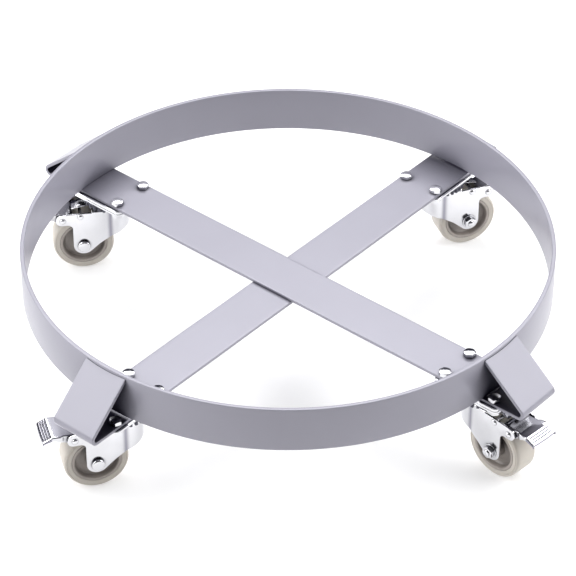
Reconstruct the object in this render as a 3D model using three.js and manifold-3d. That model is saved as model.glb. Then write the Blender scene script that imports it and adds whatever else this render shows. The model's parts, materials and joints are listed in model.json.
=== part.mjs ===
// Drum dolly: a flat-bar hoop on two crossed flat bars whose ends fold up into corner brackets,
// standing on four swivel casters with total-lock brakes.
// Millimetres, +Z up. The origin is on the floor, under the centre of the hoop.
// Each caster has its own frame: origin on the floor under the swivel axis, +X towards its wheel
// (the trailing side), +Y along the axle with the bolt head, -Y with the nut.

import * as THREE from "three";
import { mergeVertices } from "three/addons/utils/BufferGeometryUtils.js";
import Module from "manifold-3d";

const wasm = await Module();
wasm.setup();

// ---------- driving dimensions ----------
const GAP = 0.3; // between faces that would otherwise touch on a curve

const WHEEL_RADIUS = 37.5;
const AXLE_Z = WHEEL_RADIUS;

const BAR_THICKNESS = 4;
const BAR_WIDTH = 59;
const BEND_RADIUS = 4; // inside radius of the bracket fold
const BRACKET_REACH = 365; // from the centre to the outside of the fold

const PLATE_TOP = 103.5; // top of every caster plate
const PLATE_THICKNESS = 3;
const PLATE_LENGTH = 90;
const PLATE_WIDTH = 65;
const PLATE_CORNER = 7;
const BOLT_SPACING_LONG = 70;
const BOLT_SPACING_ACROSS = 45;
const BOLT_HOLE_RADIUS = 4.5;

const LOWER_BAR_TOP = PLATE_TOP + BAR_THICKNESS;
const UPPER_BAR_TOP = LOWER_BAR_TOP + BAR_THICKNESS;

const HOOP_OUTER_RADIUS = 310;
const HOOP_THICKNESS = 5;
const HOOP_BOTTOM = UPPER_BAR_TOP;
const HOOP_HEIGHT = 57;
const HOOP_TOP = HOOP_BOTTOM + HOOP_HEIGHT;
const HOOP_SEGMENTS = 72;

const CASTER_RADIUS = 285.5; // from the centre to each swivel axis
const TRAIL = 35; // from the swivel axis to the axle

const BOLT_RADIUS = 4;
const BOLT_HEAD_CORNER = 7.5; // across-corner radius of an M8 hexagon
const BOLT_HEAD_HEIGHT = 5.3;
const NUT_HEIGHT = 6.5;
const THREAD_PROUD = 2.5;
const AXLE_HEAD_HEIGHT = 5.2;

const FORK_WALL = 2.5;
const FORK_HALF_WIDTH = 20; // outside
const FORK_TOP = 88;
const HEAD_CENTRE = -5; // the fork's round head lies a little ahead of the swivel axis
const HEAD_RADIUS = 18.5;
const HEAD_FRONT = HEAD_CENTRE - HEAD_RADIUS;
const NECK_DEPTH = 2; // how far the flanks draw in where they meet the head
const NECK_RUN = 13; // over which they do so
const HEAD_BOTTOM = 60; // lower edge of the head at its foremost point
const CROWN_REAR = 24;

const KING_PIN_RADIUS = 6;
const RACE_INNER = 15;
const RACE_OUTER = 25;
const LOCK_RING_RADIUS = 34;

const WHEEL_SEGMENTS = 20;
const TYRE_HALF_WIDTH = 15;
const TYRE_BORE = 29;
const HUB_HALF_WIDTH = 16.5;
const HUB_WEB = 7; // half thickness of the disc between boss and rim
const SLEEVE_RADIUS = 6;

const PIVOT = { x: TRAIL + 24.5, z: 75.5 }; // the pedal's pivot
const PIN_RADIUS = 2.5;
const PEDAL_HALF_WIDTH = 16.5; // between the arms
const PAD_HALF_WIDTH = 19.2; // behind them
const PAD_START = TRAIL + 35.5;
const PEDAL_TIP = TRAIL + 60.5;

const degrees = (angle) => (angle * Math.PI) / 180;

// corner: where the caster stands round the hoop; swivel: which way its wheel trails.
const CASTERS = [
  { name: "front_right", corner: -45, swivel: -50, bar: "upper" },
  { name: "rear_right", corner: 45, swivel: 16, bar: "lower" },
  { name: "rear_left", corner: 135, swivel: 182, bar: "upper" },
  { name: "front_left", corner: -135, swivel: -169, bar: "lower" },
];

// ---------- materials ----------
const material = (color, roughness, metalness) =>
  new THREE.MeshStandardMaterial({ color, roughness, metalness });

const PAINT = material(0xc9c7d3, 0.45, 0.3);
const PLATED = material(0xdddde2, 0.18, 1);
const BRIGHT_BOLT = material(0xe6e6ea, 0.25, 1);
const TREAD = material(0xb9b0a6, 0.6, 0);
const CORE = material(0x857a75, 0.55, 0);

// ---------- solids ----------
function solidOf(geometry) {
  const bare = new THREE.BufferGeometry();
  bare.setAttribute("position", geometry.getAttribute("position").clone());
  if (geometry.index) bare.setIndex(geometry.index.clone());
  const merged = mergeVertices(bare, 1e-4);
  return new wasm.Manifold(
    new wasm.Mesh({
      numProp: 3,
      vertProperties: new Float32Array(merged.attributes.position.array),
      triVerts: new Uint32Array(merged.index.array),
    }),
  );
}

function geometryOf(solid) {
  const mesh = solid.getMesh();
  const positions = new Float32Array(mesh.numVert * 3);
  for (let i = 0; i < mesh.numVert; i++) {
    positions.set(mesh.vertProperties.subarray(i * mesh.numProp, i * mesh.numProp + 3), i * 3);
  }
  const geometry = new THREE.BufferGeometry();
  geometry.setAttribute("position", new THREE.BufferAttribute(positions, 3));
  geometry.setIndex(new THREE.BufferAttribute(new Uint32Array(mesh.triVerts), 1));
  return geometry;
}

// The same solid moved and turned.
const moved = (solid, matrix) => solidOf(geometryOf(solid).applyMatrix4(matrix));

const joined = (...solids) => solids.reduce((whole, next) => whole.add(next));

// An outline in X and Y, filled between two heights.
function plateSolid(shape, bottom, top, curveSegments = 6) {
  const geometry = new THREE.ExtrudeGeometry(shape, {
    depth: top - bottom,
    bevelEnabled: false,
    curveSegments,
  });
  geometry.translate(0, 0, bottom);
  return solidOf(geometry);
}

// An outline in X (along) and Z (up), filled between two places across, along Y.
function profileSolid(shape, from, to, curveSegments = 6) {
  const geometry = new THREE.ExtrudeGeometry(shape, {
    depth: to - from,
    bevelEnabled: false,
    curveSegments,
  });
  geometry.rotateX(Math.PI / 2);
  geometry.translate(0, to, 0);
  return solidOf(geometry);
}

// A closed outline of [radius, height] pairs turned round the Z axis.
function turnedSolid(outline, segments) {
  const points = outline.map(([radius, height]) => new THREE.Vector2(radius, height));
  const geometry = new THREE.LatheGeometry([...points, points[0]], segments);
  geometry.rotateX(Math.PI / 2);
  return solidOf(geometry);
}

function rodZ(radius, bottom, top, segments = 16, x = 0, y = 0) {
  const geometry = new THREE.CylinderGeometry(radius, radius, top - bottom, segments);
  geometry.rotateX(Math.PI / 2);
  geometry.translate(x, y, (top + bottom) / 2);
  return solidOf(geometry);
}

function rodY(radius, from, to, x, z, segments = 16) {
  const geometry = new THREE.CylinderGeometry(radius, radius, to - from, segments);
  geometry.translate(x, (from + to) / 2, z);
  return solidOf(geometry);
}

function boxSolid(x0, x1, y0, y1, z0, z1) {
  const geometry = new THREE.BoxGeometry(x1 - x0, y1 - y0, z1 - z0);
  geometry.translate((x0 + x1) / 2, (y0 + y1) / 2, (z0 + z1) / 2);
  return solidOf(geometry);
}

function roundedRectangle(length, width, radius) {
  const x = length / 2;
  const y = width / 2;
  const shape = new THREE.Shape();
  shape.moveTo(-x + radius, -y);
  shape.lineTo(x - radius, -y);
  shape.absarc(x - radius, -y + radius, radius, -Math.PI / 2, 0);
  shape.lineTo(x, y - radius);
  shape.absarc(x - radius, y - radius, radius, 0, Math.PI / 2);
  shape.lineTo(-x + radius, y);
  shape.absarc(-x + radius, y - radius, radius, Math.PI / 2, Math.PI);
  shape.lineTo(-x, -y + radius);
  shape.absarc(-x + radius, -y + radius, radius, Math.PI, Math.PI * 1.5);
  return shape;
}

// The four bolt places of a caster, in the frame of its plate.
const BOLT_PLACES = [-1, 1].flatMap((along) =>
  [-1, 1].map((across) => ({
    x: (along * BOLT_SPACING_LONG) / 2,
    y: (across * BOLT_SPACING_ACROSS) / 2,
  })),
);

function boltHoles(solid, centreX, bottom, top) {
  return BOLT_PLACES.reduce(
    (cut, place) =>
      cut.subtract(rodZ(BOLT_HOLE_RADIUS, bottom - 1, top + 1, 8, centreX + place.x, place.y)),
    solid,
  );
}

// ---------- frame ----------
function hoop() {
  const inner = HOOP_OUTER_RADIUS - HOOP_THICKNESS;
  return turnedSolid(
    [
      [inner, HOOP_BOTTOM],
      [HOOP_OUTER_RADIUS, HOOP_BOTTOM],
      [HOOP_OUTER_RADIUS, HOOP_TOP],
      [inner, HOOP_TOP],
    ],
    HOOP_SEGMENTS,
  );
}

// One half of a cross bar: flat from the middle to the fold, then up and in to the hoop's wall.
function barHalf(top) {
  const outside = BEND_RADIUS + BAR_THICKNESS;
  const bend = { x: BRACKET_REACH - outside, z: top + BEND_RADIUS };
  const landing = { x: HOOP_OUTER_RADIUS, z: HOOP_TOP - 3 };
  const along = landing.x - bend.x;
  const up = landing.z - bend.z;
  // The slope puts the sloping plate's outer face through the landing point.
  const slope = Math.atan2(along, up) + Math.acos(outside / Math.hypot(along, up));
  const face = Math.PI / 2 - slope; // direction of the sloping plate's outward normal
  const overrun = Math.hypot(along, up) + 15;
  const at = (radius, run) => [
    bend.x + radius * Math.cos(face) - run * Math.cos(slope),
    bend.z + radius * Math.sin(face) + run * Math.sin(slope),
  ];
  const shape = new THREE.Shape();
  shape.moveTo(-1, top - BAR_THICKNESS);
  shape.lineTo(bend.x, top - BAR_THICKNESS);
  shape.absarc(bend.x, bend.z, outside, -Math.PI / 2, face);
  shape.lineTo(...at(outside, overrun));
  shape.lineTo(...at(BEND_RADIUS, overrun));
  shape.lineTo(...at(BEND_RADIUS, 0));
  shape.absarc(bend.x, bend.z, BEND_RADIUS, face, -Math.PI / 2, true);
  shape.lineTo(-1, top);
  const half = profileSolid(shape, -BAR_WIDTH / 2, BAR_WIDTH / 2, 5);
  const inside = rodZ(HOOP_OUTER_RADIUS + GAP, HOOP_BOTTOM, HOOP_TOP + 60, HOOP_SEGMENTS);
  const above = boxSolid(0, BRACKET_REACH, -BAR_WIDTH, BAR_WIDTH, HOOP_TOP - 2, HOOP_TOP + 90);
  return boltHoles(half.subtract(inside).subtract(above), CASTER_RADIUS, top - BAR_THICKNESS, top);
}

function crossBar(top) {
  const half = barHalf(top);
  return half.add(moved(half, new THREE.Matrix4().makeRotationZ(Math.PI)));
}

function spacerPlate() {
  const shape = roundedRectangle(PLATE_LENGTH, PLATE_WIDTH, PLATE_CORNER);
  return boltHoles(plateSolid(shape, PLATE_TOP, LOWER_BAR_TOP, 3), 0, PLATE_TOP, LOWER_BAR_TOP);
}

// Hexagon bolt with its nut done up, from a seat on the bar to below the caster plate.
function plateBolt(seat) {
  const nutTop = PLATE_TOP - PLATE_THICKNESS;
  const hexagon = (bottom, top) => rodZ(BOLT_HEAD_CORNER, bottom, top, 6);
  return joined(
    hexagon(seat, seat + BOLT_HEAD_HEIGHT),
    rodZ(BOLT_RADIUS, nutTop - NUT_HEIGHT - THREAD_PROUD, seat + 1, 8),
    hexagon(nutTop - NUT_HEIGHT, nutTop),
  );
}

// ---------- caster: swivel head ----------
const PLATE_BOTTOM = PLATE_TOP - PLATE_THICKNESS;
const RACE_TOP = PLATE_BOTTOM - 4; // the plate's pressed raceway reaches down to here
const RACE_BOTTOM = FORK_TOP + 2; // the fork's raised raceway reaches up to here

function mountingPlate() {
  const outline = roundedRectangle(PLATE_LENGTH, PLATE_WIDTH, PLATE_CORNER);
  const flat = plateSolid(outline, PLATE_BOTTOM, PLATE_TOP, 3);
  const raceway = rodZ(RACE_OUTER, RACE_TOP, PLATE_BOTTOM + 1, 20);
  const lockRing = rodZ(LOCK_RING_RADIUS, PLATE_BOTTOM - 2, PLATE_BOTTOM + 0.5, 20);
  const hollow = rodZ(KING_PIN_RADIUS + 0.6, RACE_TOP - 1, PLATE_TOP + 1, 12);
  const dish = rodZ(RACE_INNER, PLATE_BOTTOM, PLATE_TOP + 1, 20);
  const head = joined(flat, raceway, lockRing).subtract(dish).subtract(hollow);
  return boltHoles(head, 0, PLATE_BOTTOM, PLATE_TOP);
}

function kingPin() {
  const shank = rodZ(KING_PIN_RADIUS, FORK_TOP - FORK_WALL - 5, PLATE_BOTTOM + 2, 12);
  const upset = rodZ(KING_PIN_RADIUS + 4, PLATE_BOTTOM + GAP, PLATE_BOTTOM + 2, 12);
  const washer = rodZ(11, FORK_TOP - FORK_WALL - 3, FORK_TOP - FORK_WALL - GAP, 12);
  return joined(shank, upset, washer);
}

function ballRace() {
  return turnedSolid(
    [
      [KING_PIN_RADIUS + 2, RACE_BOTTOM + GAP],
      [RACE_OUTER - 2, RACE_BOTTOM + GAP],
      [RACE_OUTER - 2, RACE_TOP - GAP],
      [KING_PIN_RADIUS + 2, RACE_TOP - GAP],
    ],
    16,
  );
}

// ---------- caster: fork ----------
// Plan of the fork, `inset` inside its outer face: a round head, a shallow neck and two flanks.
function forkPlan(inset, rear) {
  const half = FORK_HALF_WIDTH - inset;
  const radius = HEAD_RADIUS - inset;
  const neck = half - NECK_DEPTH;
  const meet = Math.asin(neck / radius);
  const neckX = HEAD_CENTRE + radius * Math.cos(meet);
  const shape = new THREE.Shape();
  shape.moveTo(rear, -half);
  shape.lineTo(rear, half);
  shape.lineTo(neckX + NECK_RUN, half);
  shape.lineTo(neckX + 2, neck);
  shape.absarc(HEAD_CENTRE, 0, radius, meet, -meet);
  shape.lineTo(neckX + 2, -neck);
  shape.lineTo(neckX + NECK_RUN, -half);
  return shape;
}

// Side outline of the fork: head, leg round the axle and the arm that carries the pedal.
function forkSide() {
  const legRadius = 12.5;
  const armBottom = 68.5;
  const armRear = TRAIL + 33;
  const corner = 5;
  const flank = degrees(43); // rise of the leg's front edge
  const shape = new THREE.Shape();
  shape.moveTo(HEAD_FRONT - 1, HEAD_BOTTOM);
  shape.lineTo(TRAIL - 22, AXLE_Z + 4);
  shape.lineTo(TRAIL - legRadius * Math.sin(flank), AXLE_Z - legRadius * Math.cos(flank));
  shape.absarc(TRAIL, AXLE_Z, legRadius, -Math.PI / 2 - flank, 0);
  shape.lineTo(TRAIL + legRadius, armBottom - corner);
  shape.absarc(TRAIL + legRadius + corner, armBottom - corner, corner, Math.PI, Math.PI / 2, true);
  shape.lineTo(armRear - 7, armBottom);
  shape.absarc(armRear - 7, armBottom + 7, 7, -Math.PI / 2, 0);
  shape.lineTo(armRear - 1, FORK_TOP - 6);
  shape.lineTo(TRAIL + 15, FORK_TOP - 3);
  shape.lineTo(CROWN_REAR, FORK_TOP);
  shape.lineTo(HEAD_FRONT + 3, FORK_TOP);
  shape.lineTo(HEAD_FRONT - 1, FORK_TOP - 4);
  return shape;
}

function fork() {
  const rear = TRAIL + 34;
  const through = FORK_HALF_WIDTH + 8;
  const outer = plateSolid(forkPlan(0, rear), 20, FORK_TOP, 12);
  const inner = plateSolid(forkPlan(FORK_WALL, rear + 5), 10, FORK_TOP - FORK_WALL, 12);
  const gate = FORK_HALF_WIDTH - FORK_WALL;
  const behind = boxSolid(CROWN_REAR, rear + 5, -gate, gate, 10, FORK_TOP + 5);
  const side = profileSolid(forkSide(), -through, through, 4);
  const raceway = rodZ(RACE_OUTER - 9, FORK_TOP - 1, RACE_BOTTOM, 20);
  const crossPin = rodY(2, -FORK_HALF_WIDTH - 1, FORK_HALF_WIDTH + 1, TRAIL + 3, FORK_TOP - 7.5, 10);
  return joined(outer.subtract(inner).subtract(behind).intersect(side), raceway, crossPin)
    .subtract(rodZ(KING_PIN_RADIUS + 0.6, 60, FORK_TOP + 9, 12))
    .subtract(rodY(BOLT_RADIUS + GAP, -through, through, TRAIL, AXLE_Z, 12))
    .subtract(rodY(PIN_RADIUS + GAP, -through, through, PIVOT.x, PIVOT.z, 10));
}

// Axle: a shouldered bolt with its head on +Y and its nut on -Y.
function axleBolt() {
  const shoulder = FORK_HALF_WIDTH - FORK_WALL - GAP;
  const seat = FORK_HALF_WIDTH + GAP / 2;
  return joined(
    rodY(SLEEVE_RADIUS, -shoulder, shoulder, TRAIL, AXLE_Z, 16),
    rodY(BOLT_RADIUS, -seat - NUT_HEIGHT - THREAD_PROUD, seat + 1, TRAIL, AXLE_Z, 12),
    rodY(BOLT_HEAD_CORNER, seat, seat + AXLE_HEAD_HEIGHT, TRAIL, AXLE_Z, 12),
    rodY(BOLT_HEAD_CORNER, -seat - NUT_HEIGHT, -seat, TRAIL, AXLE_Z, 6),
  );
}

function pedalPin() {
  const seat = FORK_HALF_WIDTH + GAP / 2;
  return joined(
    rodY(PIN_RADIUS, -seat - 1, seat + 1, PIVOT.x, PIVOT.z, 10),
    rodY(PIN_RADIUS + 1, seat, seat + 1, PIVOT.x, PIVOT.z, 10),
    rodY(PIN_RADIUS + 1, -seat - 1, -seat, PIVOT.x, PIVOT.z, 10),
  );
}

// ---------- caster: wheel ----------
function alongAxle(solid) {
  const turned = new THREE.Matrix4().makeRotationX(-Math.PI / 2);
  return moved(solid, new THREE.Matrix4().makeTranslation(TRAIL, 0, AXLE_Z).multiply(turned));
}

// Half an outline, from the bore outwards, and its mirror image below.
const bothSides = (half) => [
  ...half.map(([radius, across]) => [radius, -across]),
  ...half.slice().reverse(),
];

function tyre() {
  const w = TYRE_HALF_WIDTH;
  const half = [
    [TYRE_BORE, w],
    [WHEEL_RADIUS - 3.5, w],
    [WHEEL_RADIUS - 1, w - 1.5],
    [WHEEL_RADIUS, w - 4.5],
  ];
  return alongAxle(turnedSolid(bothSides(half), WHEEL_SEGMENTS));
}

function hub() {
  const rim = TYRE_BORE - GAP;
  const rimInner = rim - 3.5;
  const boss = 11;
  const half = [
    [SLEEVE_RADIUS + GAP, HUB_HALF_WIDTH],
    [boss, HUB_HALF_WIDTH],
    [boss, HUB_WEB + 1],
    [rimInner - 2, HUB_WEB],
    [rimInner, TYRE_HALF_WIDTH],
    [rim, TYRE_HALF_WIDTH],
  ];
  return alongAxle(turnedSolid(bothSides(half), WHEEL_SEGMENTS));
}

// ---------- caster: brake pedal ----------
// A pressed channel between the fork's arms: flat deck, grooved pad bent down at the tip, a tongue
// under the lock ring, cheeks hung on the pivot and a shoe that closes on the tread.
function brakePedal() {
  const sheet = 2;
  const top = PIVOT.z + 7;
  const rise = 2.5;
  const heel = PIVOT.x - 12;
  const padStart = PEDAL_TIP - 10;
  const padDrop = 5.5;
  const deck = new THREE.Shape();
  deck.moveTo(heel, top - 2.5);
  deck.lineTo(PIVOT.x, top - sheet);
  deck.lineTo(padStart, top + rise - sheet);
  deck.lineTo(PEDAL_TIP - 1, top + rise - sheet - padDrop);
  deck.lineTo(PEDAL_TIP, top + rise - padDrop);
  deck.lineTo(padStart, top + rise);
  deck.lineTo(PIVOT.x, top);
  deck.lineTo(heel, top);
  const cheek = new THREE.Shape();
  cheek.moveTo(PIVOT.x - 7, top - 1);
  cheek.lineTo(PIVOT.x - 5, PIVOT.z - 2);
  cheek.absarc(PIVOT.x, PIVOT.z, 5.3, degrees(-160), degrees(-40));
  cheek.lineTo(padStart, top + rise - 5);
  cheek.lineTo(padStart, top + rise - 1);
  cheek.lineTo(PIVOT.x, top - 1);
  const toAxle = Math.atan2(AXLE_Z - PIVOT.z, TRAIL - PIVOT.x);
  const from = (radius, turn) => [
    PIVOT.x + radius * Math.cos(toAxle + degrees(turn)),
    PIVOT.z + radius * Math.sin(toAxle + degrees(turn)),
  ];
  const shoe = new THREE.Shape();
  shoe.moveTo(...from(4, -60));
  shoe.lineTo(...from(4.5, 0));
  shoe.lineTo(...from(8, 53));
  shoe.lineTo(...from(8, 72));
  shoe.lineTo(...from(4.5, 100));
  shoe.lineTo(...from(4.5, 150));
  const half = PEDAL_HALF_WIDTH;
  const wide = PAD_HALF_WIDTH;
  const behindArms = boxSolid(PAD_START, PEDAL_TIP + 1, -wide, wide, PIVOT.z - 10, PIVOT.z + 20);
  return joined(
    profileSolid(deck, -half, half),
    profileSolid(deck, -wide, wide).intersect(behindArms),
    profileSolid(cheek, -half, -half + sheet),
    profileSolid(cheek, half - sheet, half),
    profileSolid(shoe, -half + sheet / 2, half - sheet / 2),
  ).subtract(rodY(PIN_RADIUS + GAP, -half - 1, half + 1, PIVOT.x, PIVOT.z, 10));
}

// ---------- assembly ----------
const dolly = new THREE.Group();

function add(parent, name, solid, look) {
  const mesh = new THREE.Mesh(geometryOf(solid), look);
  mesh.name = name;
  parent.add(mesh);
  return mesh;
}

add(dolly, "hoop", hoop(), PAINT);
add(dolly, "upper_cross_bar", crossBar(UPPER_BAR_TOP), PAINT).rotation.z = degrees(-45);
add(dolly, "lower_cross_bar", crossBar(LOWER_BAR_TOP), PAINT).rotation.z = degrees(45);

for (const { name, corner, swivel, bar } of CASTERS) {
  const seat = bar === "upper" ? UPPER_BAR_TOP : LOWER_BAR_TOP;
  const fixed = new THREE.Group();
  fixed.rotation.z = degrees(corner);
  fixed.position.set(
    CASTER_RADIUS * Math.cos(degrees(corner)),
    CASTER_RADIUS * Math.sin(degrees(corner)),
    0,
  );
  dolly.add(fixed);
  if (bar === "upper") add(fixed, `${name}_spacer_plate`, spacerPlate(), PLATED);
  add(fixed, `${name}_mounting_plate`, mountingPlate(), PLATED);
  add(fixed, `${name}_king_pin`, kingPin(), PLATED);
  add(fixed, `${name}_ball_race`, ballRace(), PLATED);
  BOLT_PLACES.forEach((place, i) => {
    add(fixed, `${name}_plate_bolt_${i + 1}`, plateBolt(seat), BRIGHT_BOLT).position.set(
      place.x,
      place.y,
      0,
    );
  });

  const turning = new THREE.Group();
  turning.position.copy(fixed.position);
  turning.rotation.z = degrees(swivel);
  dolly.add(turning);
  add(turning, `${name}_fork`, fork(), PLATED);
  add(turning, `${name}_axle_bolt`, axleBolt(), BRIGHT_BOLT);
  add(turning, `${name}_pedal_pin`, pedalPin(), BRIGHT_BOLT);
  add(turning, `${name}_tyre`, tyre(), TREAD);
  add(turning, `${name}_hub`, hub(), CORE);
  add(turning, `${name}_brake_pedal`, brakePedal(), PLATED);
}

export default dolly;
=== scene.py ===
import json
import math

import bmesh
import bpy
from mathutils import Matrix, Vector


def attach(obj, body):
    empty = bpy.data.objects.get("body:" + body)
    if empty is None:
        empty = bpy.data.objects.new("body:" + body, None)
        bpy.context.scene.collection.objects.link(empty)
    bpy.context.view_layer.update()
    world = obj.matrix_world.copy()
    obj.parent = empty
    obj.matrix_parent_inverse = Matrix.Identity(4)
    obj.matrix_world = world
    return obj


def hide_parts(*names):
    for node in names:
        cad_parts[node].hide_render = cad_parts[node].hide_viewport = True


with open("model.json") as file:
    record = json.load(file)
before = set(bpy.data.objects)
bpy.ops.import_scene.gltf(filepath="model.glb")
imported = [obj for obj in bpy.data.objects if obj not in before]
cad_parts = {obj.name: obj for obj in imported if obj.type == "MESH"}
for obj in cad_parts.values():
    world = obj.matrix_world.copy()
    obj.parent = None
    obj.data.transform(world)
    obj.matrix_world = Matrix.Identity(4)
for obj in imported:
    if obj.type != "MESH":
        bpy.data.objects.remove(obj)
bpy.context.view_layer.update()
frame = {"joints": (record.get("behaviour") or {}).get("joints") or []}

# Everything below is drawn in millimetres and turned into metres when a piece is made.
MM = 0.001

# ---------- dimensions of the dolly ----------
WHEEL_RADIUS = 37.5
AXLE_Z = WHEEL_RADIUS
TRAIL = 35.0  # from the swivel axis to the axle

BAR_THICKNESS = 4.0
BAR_WIDTH = 59.0
BEND_RADIUS = 4.0
BRACKET_REACH = 365.0

PLATE_TOP = 103.5
PLATE_THICKNESS = 3.0
PLATE_BOTTOM = PLATE_TOP - PLATE_THICKNESS
PLATE_LENGTH = 90.0
PLATE_WIDTH = 65.0
PLATE_CORNER = 7.0
BOLT_SPACING_LONG = 70.0
BOLT_SPACING_ACROSS = 45.0
LOWER_BAR_TOP = PLATE_TOP + BAR_THICKNESS
UPPER_BAR_TOP = LOWER_BAR_TOP + BAR_THICKNESS

HOOP_OUTER_RADIUS = 310.0
HOOP_THICKNESS = 5.0
HOOP_BOTTOM = UPPER_BAR_TOP
HOOP_TOP = HOOP_BOTTOM + 57.0

BOLT_RADIUS = 4.0
HEX_CORNER = 7.5
HEAD_HEIGHT = 5.3
NUT_HEIGHT = 6.5
THREAD_PROUD = 2.5
AXLE_HEAD_HEIGHT = 5.2

FORK_WALL = 2.5
FORK_HALF_WIDTH = 20.0
FORK_TOP = 88.0
FORK_FILLET = 3.2
HEAD_CENTRE = -5.0
HEAD_RADIUS = 18.5
HEAD_FRONT = HEAD_CENTRE - HEAD_RADIUS
NECK_DEPTH = 2.0
NECK_RUN = 13.0
CROWN_REAR = 24.0
ARM_REAR = TRAIL + 33.0
ARM_BOTTOM = 68.5
LEG_RADIUS = 12.5

RACE_TOP = PLATE_BOTTOM - 4.0
RACE_BOTTOM = FORK_TOP + 2.0
KING_PIN_RADIUS = 6.0

TYRE_HALF_WIDTH = 15.0
TYRE_BORE = 29.0
HUB_HALF_WIDTH = 16.5

PIVOT_X = TRAIL + 24.5
PIVOT_Z = 75.5
PIN_RADIUS = 2.5
PEDAL_HALF_WIDTH = 16.5
PAD_HALF_WIDTH = 19.2
PEDAL_TIP = TRAIL + 60.5
PEDAL_WALL = 1.8

CASTERS = ("front_right", "rear_right", "rear_left", "front_left")
BAR_OF = {"front_right": "upper", "rear_left": "upper", "rear_right": "lower", "front_left": "lower"}

# ---------- outlines ----------


def rounded(points, radius, steps=5):
    """The closed outline through these points with its corners rounded; radius is one number or a list."""
    count = len(points)
    radii = list(radius) if isinstance(radius, (list, tuple)) else [radius] * count
    outline = []
    for i, point in enumerate(points):
        corner = Vector(point)
        before = Vector(points[i - 1]) - corner
        after = Vector(points[(i + 1) % count]) - corner
        angle = before.angle(after)
        if radii[i] <= 0 or angle > math.pi - 0.02:
            outline.append(tuple(corner))
            continue
        cut = min(radii[i] / math.tan(angle / 2), 0.49 * before.length, 0.49 * after.length)
        reach = cut * math.tan(angle / 2)
        before.normalize()
        after.normalize()
        centre = corner + (before + after).normalized() * (reach / math.sin(angle / 2))
        start = corner + before * cut - centre
        end = corner + after * cut - centre
        first = math.atan2(start.y, start.x)
        turn = (math.atan2(end.y, end.x) - first + math.pi) % (2 * math.pi) - math.pi
        for k in range(steps + 1):
            at = first + turn * k / steps
            outline.append((centre.x + reach * math.cos(at), centre.y + reach * math.sin(at)))
    return outline


def arc(cx, cy, radius, start, end, steps):
    """Points on an arc, angles in degrees."""
    at = [math.radians(start + (end - start) * k / steps) for k in range(steps + 1)]
    return [(cx + radius * math.cos(a), cy + radius * math.sin(a)) for a in at]


def inset(outline, distance):
    """A counter-clockwise outline moved inwards."""
    moved = []
    count = len(outline)
    for i, point in enumerate(outline):
        here = Vector(point)
        into = (here - Vector(outline[i - 1])).normalized()
        away = (Vector(outline[(i + 1) % count]) - here).normalized()
        side = Vector((-into.y, into.x))
        middle = side + Vector((-away.y, away.x))
        if middle.length < 1e-6:
            middle = side
        middle.normalize()
        moved.append(tuple(here + middle * (distance / max(0.4, middle.dot(side)))))
    return moved


# ---------- shapes: (vertices, faces) in millimetres ----------


def merged(*shapes):
    """Several shapes as one."""
    verts, faces = [], []
    for more_verts, more_faces in shapes:
        start = len(verts)
        verts.extend(more_verts)
        faces.extend([tuple(i + start for i in face) for face in more_faces])
    return verts, faces


def placed(shape, matrix):
    return [tuple(matrix @ Vector(v)) for v in shape[0]], shape[1]


def circle(radius, z, count, centre=(0.0, 0.0)):
    """A ring of points round an upright axis."""
    turns = [2 * math.pi * k / count for k in range(count)]
    return [(centre[0] + radius * math.cos(a), centre[1] + radius * math.sin(a), z) for a in turns]


def rings(loops, close_loop=False):
    """Closed rings of equal length, joined one to the next, with both ends capped or joined up."""
    count = len(loops[0])
    verts = [tuple(p) for loop in loops for p in loop]
    faces = []
    pairs = len(loops) if close_loop else len(loops) - 1
    for i in range(pairs):
        low, high = i * count, ((i + 1) % len(loops)) * count
        for k in range(count):
            n = (k + 1) % count
            faces.append((low + k, low + n, high + n, high + k))
    if not close_loop:
        faces.append(tuple(reversed(range(count))))
        faces.append(tuple(range((len(loops) - 1) * count, len(loops) * count)))
    return verts, faces


def slab(outline, low, high, edge=0.5, steps=2):
    """A counter-clockwise outline in X and Y between two heights, with rounded rims."""
    loops = []
    turns = [math.pi / 2 * k / steps for k in range(steps + 1)] if edge > 0 else [math.pi / 2]
    for turn in turns:
        ring = inset(outline, edge * (1 - math.sin(turn)))
        loops.append([(x, y, low + edge * (1 - math.cos(turn))) for x, y in ring])
    for turn in reversed(turns):
        ring = inset(outline, edge * (1 - math.sin(turn)))
        loops.append([(x, y, high - edge * (1 - math.cos(turn))) for x, y in ring])
    return rings(loops)


def turned(profile, segments=96):
    """A closed outline of (radius, height), clear of the axis, turned round Z."""
    loops = []
    for k in range(segments):
        at = 2 * math.pi * k / segments
        loops.append([(r * math.cos(at), r * math.sin(at), z) for r, z in profile])
    return rings(loops, close_loop=True)


def dome(profile, segments=48):
    """An open outline from the bottom centre out and up to the top centre; both ends are capped."""
    return rings([circle(r, z, segments) for r, z in profile])


def hexagon(corner, low, high, chamfer_low=True, chamfer_high=True, per_side=8):
    """A hexagon with its corners turned off at the ends, as on a bolt head or a nut."""
    apothem = corner * math.cos(math.pi / 6)
    flat = apothem * 0.96
    count = 6 * per_side
    reach = [apothem / math.cos(math.radians(60 * ((i / per_side) % 1) - 30)) for i in range(count)]
    aim = [2 * math.pi * i / count for i in range(count)]

    def ring(radii, heights):
        return [(r * math.cos(a), r * math.sin(a), z) for r, a, z in zip(radii, aim, heights)]

    slope = math.tan(math.radians(28))
    drop = [max(0.0, r - flat) * slope for r in reach]
    loops = [
        ring([flat] * count, [low] * count),
        ring(reach, [low + d for d in drop] if chamfer_low else [low + 0.05] * count),
        ring(reach, [high - d for d in drop] if chamfer_high else [high - 0.05] * count),
        ring([flat] * count, [high] * count),
    ]
    return rings(loops)


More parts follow.
